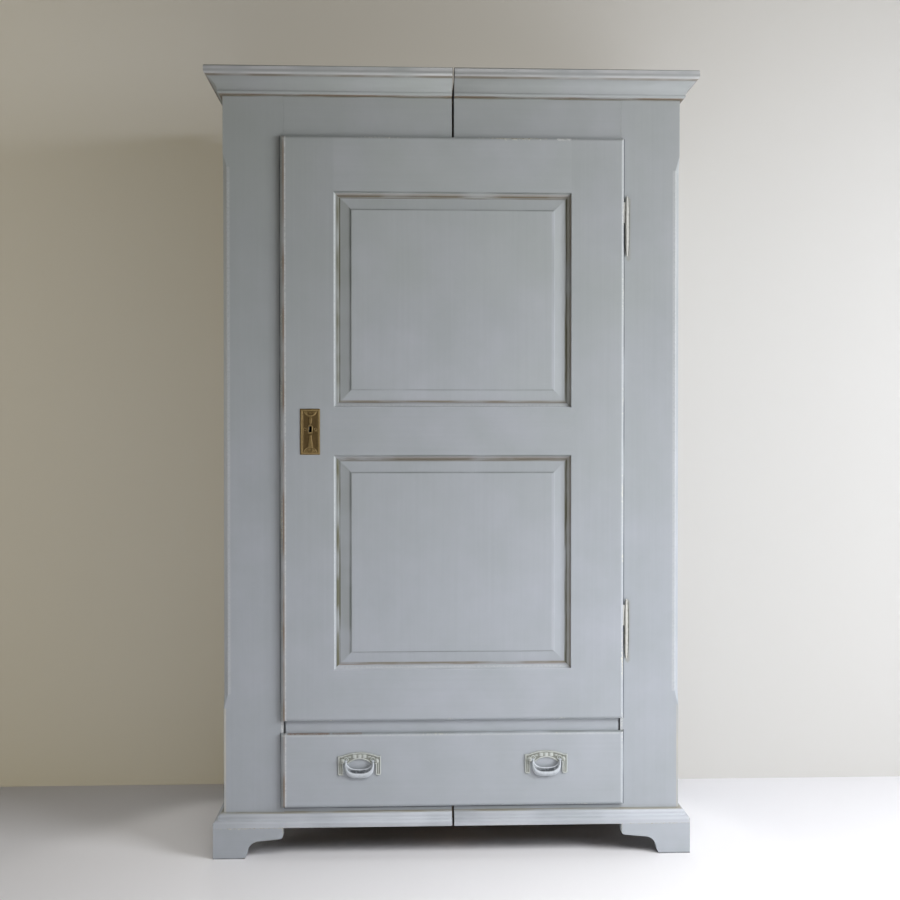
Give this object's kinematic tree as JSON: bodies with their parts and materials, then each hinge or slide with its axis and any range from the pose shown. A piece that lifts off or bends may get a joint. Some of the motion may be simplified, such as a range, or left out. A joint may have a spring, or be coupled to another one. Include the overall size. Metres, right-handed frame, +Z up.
{
  "type": "bonnetiere cabinet",
  "caption": "Tall painted country cupboard with a panelled door, a drawer below with drop handles, a moulded cornice and bracket feet",
  "frame": {"origin": "on the floor, at the middle of the whole outline, cornice included", "axes": "+X to the right seen from the front, +Y from the front to the back, +Z up"},
  "size_m": [1.19, 0.56, 1.9],
  "materials": {
    "painted_wood": "blue-grey chalk paint, matt, rubbed through on edges",
    "bare_wood": "bare old softwood, unpolished",
    "brass": "stamped, aged dull",
    "painted_iron": "painted pale grey, worn on the high parts",
    "iron": "dark, dull"
  },
  "bodies": {
    "carcass": {"front_stile_left": "painted_wood", "front_stile_right": "painted_wood", "top_rail_left": "painted_wood", "top_rail_right": "painted_wood", "bottom_rail_left": "painted_wood", "bottom_rail_right": "painted_wood", "side_board_left": "painted_wood", "side_board_right": "painted_wood", "top_board_left": "bare_wood", "top_board_right": "bare_wood", "bottom_board_left": "bare_wood", "bottom_board_right": "bare_wood", "back_boards_left": "bare_wood", "back_boards_right": "bare_wood", "cornice_front_left": "painted_wood", "cornice_front_right": "painted_wood", "cornice_side_left": "painted_wood", "cornice_side_right": "painted_wood", "base_moulding_front_left": "painted_wood", "base_moulding_front_right": "painted_wood", "base_moulding_side_left": "painted_wood", "base_moulding_side_right": "painted_wood", "foot_bracket_front_left": "painted_wood", "foot_bracket_front_right": "painted_wood", "foot_bracket_side_left": "painted_wood", "foot_bracket_side_right": "painted_wood", "foot_bracket_rear_left": "painted_wood", "foot_bracket_rear_right": "painted_wood", "mid_rail": "painted_wood", "foot_blocks": "bare_wood", "cupboard_floor": "bare_wood", "shelf_lower": "bare_wood", "shelf_upper": "bare_wood", "shelf_cleats": "bare_wood", "drawer_guides": "bare_wood", "joining_cleats": "bare_wood", "joining_bolts": "iron", "hinge_frame_leaves": "painted_iron"},
    "door": {"door_lock_stile": "painted_wood", "door_hinge_stile": "painted_wood", "door_top_rail": "painted_wood", "door_lock_rail": "painted_wood", "door_bottom_rail": "painted_wood", "door_panel_upper": "painted_wood", "door_panel_lower": "painted_wood", "escutcheon": "brass", "escutcheon_pins": "brass", "lock_case": "iron", "hinge_door_leaves": "painted_iron"},
    "drawer": {"drawer_front": "painted_wood", "drawer_side_left": "bare_wood", "drawer_side_right": "bare_wood", "drawer_back": "bare_wood", "drawer_bottom": "bare_wood", "handle_plate_left": "painted_iron", "handle_plate_right": "painted_iron", "handle_bolts": "iron"},
    "bail_left": {"handle_bail_left": "painted_iron"},
    "bail_right": {"handle_bail_right": "painted_iron"},
    "lock_bolt": {"lock_bolt": "iron"}
  },
  "joints": [
    {"name": "door_swing", "type": "hinge", "parent": "carcass", "child": "door", "pos_m": [0.425, -0.24605, 1.038], "axis": [0, 0, 1], "range_deg": [0, 170]},
    {"name": "drawer_slide", "type": "slide", "parent": "carcass", "child": "drawer", "axis": [0, -1, 0], "range_m": [0, 0.36]},
    {"name": "bail_left_swing", "type": "hinge", "parent": "drawer", "child": "bail_left", "pos_m": [-0.227, -0.2605, 0.231], "axis": [-1, 0, 0], "range_deg": [0, 95]},
    {"name": "bail_right_swing", "type": "hinge", "parent": "drawer", "child": "bail_right", "pos_m": [0.227, -0.2605, 0.231], "axis": [-1, 0, 0], "range_deg": [0, 95]},
    {"name": "lock_bolt_throw", "type": "slide", "parent": "door", "child": "lock_bolt", "axis": [-1, 0, 0], "range_m": [0, 0.018]}
  ]
}
